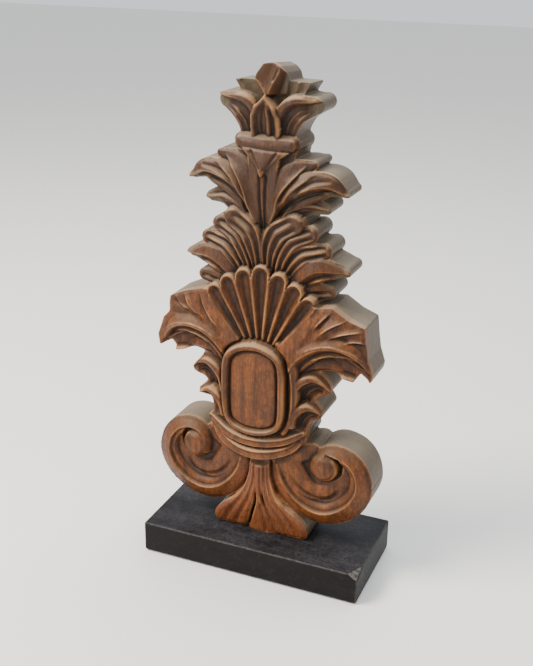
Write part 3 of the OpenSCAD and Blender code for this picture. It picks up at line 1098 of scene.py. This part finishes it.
@dataclass(frozen=True)
class BlackPaint:
    """Brushed black satin paint on wood: dusty on top, scuffed brown, pale at the edges and the chip with
    a painted highlight and rubbing.

    Args:
        name: the material's name.
        paint: the paint itself.
        dust: the film on its top.
        scuff: its dull brown patches.
        edge: the pale painted highlight on the edges and the chip, with their rubbing.
        scrape: small pale scrapes.
    """

    name: str = "paint_black_satin_worn"
    paint: str = "#080708"
    dust: str = "#3a393d"
    scuff: str = "#110e0c"
    edge: str = "#6a655f"
    scrape: str = "#23201d"

    def build(self) -> bpy.types.Material:
        """Makes the material and returns it."""
        t = Tree(self.name)
        # Brush marks run along the block, 1.6 mm apart; the paint's own tooth is 2 mm
        cloud = t.noise((30.0, 22.0, 14.0), 4, 0.6, 1.0)
        fine = t.noise((2.2, 2.2, 2.2), 4, 0.65, 4.0)
        brush = t.noise((60.0, 1.6, 1.6), 3, 0.55, 7.0)
        colour = t.mix(t.ramp(cloud, [(0.42, 0.0), (0.68, 0.6)]), linear(self.paint),
                       linear(self.scuff))
        top = t.attribute("top")
        film = t.math("MULTIPLY", top, t.ramp(cloud, [(0.35, 0.25), (0.62, 0.85)]))
        film = t.math("MULTIPLY", film, t.ramp(brush, [(0.35, 0.7), (0.6, 1.0)]))
        film = t.math("MULTIPLY", film, t.ramp(fine, [(0.38, 0.35), (0.56, 1.0)]))
        colour = t.mix(film, colour, linear(self.dust))
        rub = t.ramp(t.noise((5.0, 5.0, 5.0), 5, 0.7, 6.0), [(0.54, 0.0), (0.68, 0.4)])
        colour = t.mix(rub, colour, linear(self.scrape))
        # Edges and chip: a pale painted highlight, with rubbing.
        worn = t.math("MULTIPLY", t.attribute("worn"), t.ramp(fine, [(0.38, 0.25), (0.6, 1.0)]))
        colour = t.mix(worn, colour, linear(self.edge))
        rough = t.math("ADD", t.math("MULTIPLY", film, 0.25), t.math("MULTIPLY", fine, 0.2))
        rough = t.math("ADD", rough, 0.38)
        height = t.math("ADD", t.math("MULTIPLY", fine, 0.6), brush)
        return t.finish(colour, rough, height, 0.12, **{"Specular IOR Level": 0.16})


@dataclass(frozen=True)
class ZincPlate:
    """Bright zinc plating on steel screws: a clean metal gloss, slightly clouded.

    Args:
        name: the material's name.
        metal: its bright tone.
        stain: its clouded tone.
    """

    name: str = "steel_zinc_plated"
    metal: str = "#b9b7b0"
    stain: str = "#8f8c82"

    def build(self) -> bpy.types.Material:
        """Makes the material and returns it."""
        t = Tree(self.name)
        # The plating is clouded over a millimetre or two
        cloud = t.noise((1.2, 1.2, 2.0), 3, 0.5)
        colour = t.mix(t.ramp(cloud, [(0.4, 0.0), (0.7, 0.5)]), linear(self.metal), linear(self.stain))
        rough = t.math("ADD", t.math("MULTIPLY", cloud, 0.2), 0.25)
        return t.finish(colour, rough, cloud, 0.02, Metallic=1.0)


@dataclass(frozen=True)
class BlackFelt:
    """Pressed wool felt on the pads: dead matt and slightly fuzzy.

    Args:
        name: the material's name.
        fibre: its dark tone.
        nap: its pale tone.
    """

    name: str = "felt_black_pressed"
    fibre: str = "#1d1c1d"
    nap: str = "#3a3839"

    def build(self) -> bpy.types.Material:
        """Makes the material and returns it."""
        t = Tree(self.name)
        # Fibres are finer than this, and drawn at half a millimetre so they show
        fuzz = t.noise((0.5, 0.5, 0.3), 4, 0.7)
        colour = t.mix(fuzz, linear(self.fibre), linear(self.nap))
        return t.finish(colour, 0.95, fuzz, 0.15)


# ---------------------------------------------------------------------------
# Pieces
# ---------------------------------------------------------------------------

def pick(obj: bpy.types.Object) -> None:
    """Selects one object alone and makes it active."""
    bpy.ops.object.select_all(action="DESELECT")
    obj.select_set(True)
    bpy.context.view_layer.objects.active = obj


def store(obj: bpy.types.Object, name: str, values: np.ndarray) -> None:
    """Stores a number per vertex on a mesh.

    Args:
        obj: the mesh's object.
        name: the attribute's name.
        values: one number per vertex.
    """
    a = obj.data.attributes.new(name, "FLOAT", "POINT")
    a.data.foreach_set("value", np.ascontiguousarray(values, np.float32))


def vertices(obj: bpy.types.Object) -> np.ndarray:
    """Reads a mesh's vertices.

    Args:
        obj: the mesh's object.

    Returns:
        Rows of (x, y, z) in mm.
    """
    co = np.empty(len(obj.data.vertices) * 3, np.float32)
    obj.data.vertices.foreach_get("co", co)
    return co.reshape(-1, 3) / MM


@dataclass
class CarvedBoard:
    """The carved board: a relief turned into one closed solid.

    Args:
        step: spacing of the relief's points, in mm.
        triangles: most triangles the finished piece may have.
        walls: bands of faces across the sawn edge.
        soften: how far the cuts' corners are softened, in mm.
        wander: how far the hand-drawn lines wander, in mm.
        ripple: height of the gouge's ripple, in mm.
        bud_from: where the bud's top starts to fall away, in mm.
        bud_fall: how far its back has fallen at the very top, in mm.
        relief: the relief, made by build.
    """

    step: float = 0.5
    triangles: int = 185000
    walls: int = 9
    soften: float = 0.36
    wander: float = 0.55
    ripple: float = 0.16
    bud_from: float = 408.0
    bud_fall: float = 2.6
    relief: Relief = field(init=False)

    def _settle(self) -> None:
        """Softens the cuts, wanders the drawing a little by hand and trims the sole."""
        r = self.relief
        shape = r.h.shape
        # Heights run on past the outline so its edge stays crisp
        within = (r.s > 0.4 * self.step).astype(float)
        for _ in range(2):
            weight = blur(within, 1.6)
            spread = blur(r.h * within, 1.6) / np.maximum(weight, 1e-6)
            r.h = np.where((within < 0.5) & (weight > 0.004), spread, r.h)
            within = np.maximum(within, (weight > 0.004).astype(float))
        r.h = blur(r.h, max(self.soften / self.step, 0.5))
        wx = self.wander * value_noise(shape, (38 / self.step, 30 / self.step), 5)
        wz = self.wander * value_noise(shape, (34 / self.step, 30 / self.step), 6)
        px, pz = np.meshgrid(r.x, r.z)
        r.h = r.sample(r.h, px + wx, pz + wz)
        r.s = r.sample(r.s, px + wx, pz + wz)
        r.h += self.ripple * value_noise(shape, (5 / self.step, 4 / self.step), 7)
        r.s = blur(r.s, 0.6 / self.step)
        r.s = np.minimum(r.s, pz - SOLE)

    def _cells(self) -> np.ndarray:
        """Finds the grid cells inside the outline.

        Returns:
            Which cells are inside, with no pinched corners among them.
        """
        s = self.relief.s
        node = s > -0.1 * self.step
        cell = node[:-1, :-1] & node[1:, :-1] & node[:-1, 1:] & node[1:, 1:]
        for _ in range(6):
            a, b = cell[:-1, :-1] & cell[1:, 1:], cell[1:, :-1] & cell[:-1, 1:]
            c, d = cell[1:, :-1] | cell[:-1, 1:], cell[:-1, :-1] | cell[1:, 1:]
            p, q = a & ~c, b & ~d
            if not (p.any() or q.any()):
                break
            cell[1:, :-1] |= p
            cell[:-1, :-1] |= q
        return cell

    def _snap(self, xz: np.ndarray, rim: np.ndarray, neighbours: np.ndarray) -> np.ndarray:
        """Moves the rim's points onto the outline and evens them along it.

        Args:
            xz: every point, as rows of (x, z); the rim's are changed.
            rim: which points are on the rim.
            neighbours: the points before and after each of those.

        Returns:
            The rows.
        """
        r = self.relief
        gz, gx = np.gradient(r.s, self.step)
        p = xz[rim].copy()
        for _ in range(3):
            s = r.sample(r.s, p[:, 0], p[:, 1])
            g = np.stack([r.sample(gx, p[:, 0], p[:, 1]), r.sample(gz, p[:, 0], p[:, 1])], 1)
            n = np.maximum((g ** 2).sum(1), 0.25)
            move = -(s / n)[:, None] * g
            size = np.maximum(np.hypot(move[:, 0], move[:, 1]), 1e-9)
            move *= np.minimum(1, 0.6 * self.step / size)[:, None]
            p += move
            xz[rim] = p
            sole = xz[rim][:, 1] < SOLE + 0.3 * self.step
            even = 0.5 * xz[rim] + 0.25 * (xz[neighbours[:, 0]] + xz[neighbours[:, 1]])
            even[sole, 1] = SOLE
            xz[rim] = even
            p = xz[rim].copy()
        return xz

    def _solid(self) -> tuple[np.ndarray, np.ndarray]:
        """Closes the relief with straight sawn edges and a flat back.

        Returns:
            The solid's points in mm and its four-cornered faces.
        """
        r = self.relief
        cell = self._cells()
        nx = cell.shape[1]
        cj, ci = np.nonzero(cell)
        corner = cj * (nx + 1) + ci
        quads = np.stack([corner, corner + 1, corner + nx + 2, corner + nx + 1], 1)
        used, compact = np.unique(quads, return_inverse=True)
        quads = compact.reshape(-1, 4)
        count = len(used)
        xz = np.stack([r.x[used % (nx + 1)], r.z[used // (nx + 1)]], 1)
        edges = np.concatenate([quads[:, [k, (k + 1) % 4]] for k in range(4)])
        key = np.sort(edges, 1)
        key = key[:, 0].astype(np.int64) * count + key[:, 1]
        _, first, times = np.unique(key, return_index=True, return_counts=True)
        rim_edges = edges[first[times == 1]]
        rim = np.unique(rim_edges)
        after = np.full(count, -1)
        before = np.full(count, -1)
        after[rim_edges[:, 0]] = rim_edges[:, 1]
        before[rim_edges[:, 1]] = rim_edges[:, 0]
        xz = self._snap(xz, rim, np.stack([before[rim], after[rim]], 1))
        front = FRONT - r.sample(r.h, xz[:, 0], xz[:, 1])
        # Rings of the sawn edge run from the front rim to the back rim
        place = np.full(count, -1)
        place[rim] = np.arange(len(rim))
        rows = [np.stack([xz[:, 0], front, xz[:, 1]], 1)]
        shares = np.linspace(0, 1, self.walls + 1)[1:-1]
        for share in shares:
            y = front[rim] * (1 - share) + BACK * share
            rows.append(np.stack([xz[rim, 0], y, xz[rim, 1]], 1))
        rows.append(np.stack([xz[:, 0], np.full(count, BACK), xz[:, 1]], 1))
        points = np.vstack(rows)
        high = np.clip((points[:, 2] - self.bud_from) / 24, 0, 1)
        points[:, 2] -= self.bud_fall * high * np.clip((points[:, 1] - FRONT) / (BACK - FRONT), 0, 1)
        ring = [rim_edges]
        for k in range(len(shares)):
            ring.append(place[rim_edges] + count + k * len(rim))
        back_start = count + len(shares) * len(rim)
        ring.append(rim_edges + back_start)
        faces = [quads]
        for a, b in zip(ring[:-1], ring[1:]):
            faces.append(np.stack([a[:, 1], a[:, 0], b[:, 0], b[:, 1]], 1))
        faces.append(quads[:, ::-1] + back_start)
        return points, np.vstack(faces)

    def build(self) -> bpy.types.Object:
        """Carves the relief and makes the piece.

        Returns:
            The finished mesh object.
        """
        self.relief = CrestDesign(Relief(self.step)).carve()
        self._settle()
        points, faces = self._solid()
        mesh = bpy.data.meshes.new("carved_board")
        mesh.from_pydata((points * MM).tolist(), [], faces.tolist())
        mesh.update()
        obj = bpy.data.objects.new("carved_board", mesh)
        bpy.context.collection.objects.link(obj)
        pick(obj)
        faces_now = 2 * len(mesh.polygons)
        if faces_now > self.triangles:
            m = obj.modifiers.new("thin", "DECIMATE")
            m.ratio = self.triangles / faces_now
            bpy.ops.object.modifier_apply(modifier=m.name)
        self._mark(obj)
        bpy.ops.object.shade_smooth()
        bpy.ops.object.shade_smooth_by_angle(angle=math.radians(52))
        return obj

    def _mark(self, obj: bpy.types.Object) -> None:
        """Stores each part's painted shade with dirt in the cuts, wear with painted highlight on the
        crests, painted light on the foot, and greying.

        Args:
            obj: the board, before it is shaded smooth.
        """
        r = self.relief
        co = vertices(obj)
        filled = np.where(r.s > -0.3, r.h, np.nan)
        level = np.nan_to_num(filled, nan=0.0)
        weight = (~np.isnan(filled)).astype(float)

        def mean(mm: float) -> np.ndarray:
            """Averages the heights round each point, over this many mm."""
            k = mm / self.step
            return blur(level, k) / np.maximum(blur(weight, k), 0.02)

        tight, near, wide = (level - mean(0.9)), (level - mean(2.4)), (level - mean(7.0))
        # Painted shade, with dirt, in the hollows: the further below the surrounding heights, the darker.
        cut = np.clip(-1.8 * tight - 0.04, 0, 1) * 0.5 + np.clip(-near / 1.5 - 0.08, 0, 1) * 0.8
        cut += np.clip(-wide * 0.2 - 0.05, 0, 0.45)
        cut *= np.clip((r.s - 0.3) / 2.2, 0, 1)
        px, pz = np.meshgrid(r.x, r.z)
        # Painted light on the foot: its painted shade is eased and its tone lifted.
        foot = ease((112 - pz) / 30) * ease((12 + 0.475 * (112 - pz) - np.abs(px)) / 5)
        cut *= 1 - 0.6 * foot
        # Wear with a painted highlight on tight crests and along the board's outline.
        worn = np.clip(tight * 2.4 - 0.55, 0, 1) * np.clip(near * 0.8, 0, 1) * 0.65
        worn += 0.35 * np.clip(1 - np.abs(r.s) / 0.9, 0, 1)
        for name, grid in (("cut", cut), ("worn", worn), ("foot_painted_light", foot)):
            store(obj, name, np.clip(r.sample(grid, co[:, 0], co[:, 2]), 0, 1))
        store(obj, "grey", np.clip((co[:, 2] - 232) / 70, 0, 1) * 0.8 + 0.1)


@dataclass
class Plinth:
    """The painted block, softly rounded and chipped at one corner.

    Args:
        width: size along x, in mm.
        depth: size along y.
        height: size along z.
        lift: how far the pads hold it off the floor.
        chip_at: a point on the chip's face.
        chip_way: the way that face points.
    """

    width: float = 200.0
    depth: float = 94.0
    height: float = 28.0
    lift: float = 1.0
    chip_at: tuple[float, float, float] = (96.0, -47.0, 25.5)
    chip_way: tuple[float, float, float] = (0.55, -0.28, 0.79)

    def build(self) -> bpy.types.Object:
        """Makes the block.

        Returns:
            The finished mesh object.
        """
        bpy.ops.object.select_all(action="DESELECT")
        bpy.ops.mesh.primitive_cube_add(size=1, location=(0, 0, 0), scale=(
            self.width * MM, self.depth * MM, self.height * MM))
        obj = bpy.context.object
        obj.name = "painted_block"
        bpy.ops.object.transform_apply(location=False, rotation=False, scale=True)
        bpy.ops.object.mode_set(mode="EDIT")
        bpy.ops.mesh.select_all(action="SELECT")
        bpy.ops.transform.translate(value=(0, 0, (self.lift + self.height / 2) * MM))
        bpy.ops.mesh.bisect(plane_co=[v * MM for v in self.chip_at], plane_no=self.chip_way,
                            use_fill=True, clear_outer=True)
        bpy.ops.mesh.select_all(action="SELECT")
        bpy.ops.mesh.bevel(offset=1.6 * MM, segments=4, profile=0.5, affect="EDGES")
        bpy.ops.object.mode_set(mode="OBJECT")
        return obj


def mark_block(obj: bpy.types.Object, size: Plinth) -> None:
    """Stores how dusty (top) each vertex of the block is, and its painted highlight with rubbing (edges,
    chip).

    Args:
        obj: the block.
        size: what it was built from.
    """
    co = vertices(obj)
    width, depth, top = size.width, size.depth, size.lift + size.height
    upper = np.clip((co[:, 2] - top + 1.2) / 1.0, 0, 1)
    near_x = np.clip(1 - (width / 2 - np.abs(co[:, 0])) / 2.2, 0, 1)
    near_y = np.clip(1 - (depth / 2 - np.abs(co[:, 1])) / 2.2, 0, 1)
    near_z = np.clip(1 - (top - co[:, 2]) / 2.2, 0, 1)
    pair = np.sort(np.stack([near_x, near_y, near_z]), axis=0)[1]
    store(obj, "top", upper)
    way = np.asarray(size.chip_way) / np.linalg.norm(size.chip_way)
    chip = np.abs((co - np.asarray(size.chip_at)) @ way) < 0.25
    # Edges and the chip's face: painted highlight, with rubbing.
    store(obj, "worn", np.maximum(np.clip(pair * 1.2 - 0.5, 0, 1) * 0.8, 0.8 * chip))


@dataclass(frozen=True)
class Light:
    """A soft square lamp.

    Args:
        name: what it is called.
        place: where it hangs, in m.
        aim: the point it faces.
        size: its side, in m.
        power: its power in W.
        colour: its colour.
    """

    name: str
    place: tuple[float, float, float]
    aim: tuple[float, float, float]
    size: float
    power: float
    colour: str = "#ffffff"

    def add(self) -> None:
        """Puts the lamp in the scene."""
        data = bpy.data.lights.new(self.name, "AREA")
        data.shape = "SQUARE"
        data.size = self.size
        data.energy = self.power
        data.color = linear(self.colour)[:3]
        lamp = bpy.data.objects.new(self.name, data)
        bpy.context.collection.objects.link(lamp)
        lamp.location = self.place
        way = Vector(self.aim) - Vector(self.place)
        lamp.rotation_euler = way.to_track_quat("-Z", "Y").to_euler()


class Studio:
    """Pale floor, soft light and the viewing camera."""

    def build(self) -> None:
        """Sets everything round the object."""
        bpy.ops.object.select_all(action="DESELECT")
        bpy.ops.mesh.primitive_plane_add(size=12, location=(0, 0, 0))
        floor = bpy.context.object
        floor.name = "floor"
        t = Tree("floor_pale_matt")
        floor.data.materials.append(t.finish(linear("#eae8e3"), 0.6))
        world = bpy.data.worlds.new("studio")
        world.use_nodes = True
        sky = world.node_tree.nodes["Background"]
        sky.inputs[0].default_value = linear("#eef2f6")
        sky.inputs[1].default_value = 1.1
        bpy.context.scene.world = world
        for lamp in (Light("key", (-0.9, -0.7, 1.5), (0, 0, 0.2), 0.7, 58, "#fff6ec"),
                     Light("top", (0.1, 0.5, 1.6), (0, 0, 0.25), 1.0, 16, "#f4f8ff"),
                     Light("front", (-0.5, -1.5, 0.5), (0, 0, 0.15), 0.9, 8, "#fffaf4"),
                     Light("fill", (1.3, -0.9, 0.7), (0, 0, 0.2), 1.2, 3, "#f2f6ff")):
            lamp.add()
        data = bpy.data.cameras.new("view")
        data.sensor_width = 36
        data.lens = 54.1
        data.clip_start = 0.05
        camera = bpy.data.objects.new("view", data)
        bpy.context.collection.objects.link(camera)
        camera.matrix_world = (Matrix.Translation((0.2927, -0.7174, 0.5196))
                               @ Matrix.Rotation(math.radians(22.448), 4, "Z")
                               @ Matrix.Rotation(math.radians(68.30), 4, "X")
                               @ Matrix.Rotation(math.radians(0.922), 4, "Z"))
        bpy.context.scene.camera = camera


def main() -> None:
    """Builds every piece in order and reports it."""
    wood = CarvedWood().build()
    paint = BlackPaint().build()
    zinc = ZincPlate().build()
    felt = BlackFelt().build()
    board = CarvedBoard(step=0.5).build()
    board.data.materials.append(wood)
    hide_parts("carving")
    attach(board, "root")
    LOG.info("carved board: %d faces", len(board.data.polygons))
    size = Plinth()
    block = size.build()
    mark_block(block, size)
    block.data.materials.append(paint)
    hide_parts("plinth")
    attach(block, "root")
    LOG.info("plinth: %d faces", len(block.data.polygons))
    for name, node in frame["nodes"].items():
        finish = zinc if "screw" in name else felt if "pad" in name else None
        if finish:
            node.data.materials.clear()
            node.data.materials.append(finish)
            LOG.info("%s: kept from the frame", name)
    Studio().build()
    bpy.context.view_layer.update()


if __name__ == "__main__":
    main()
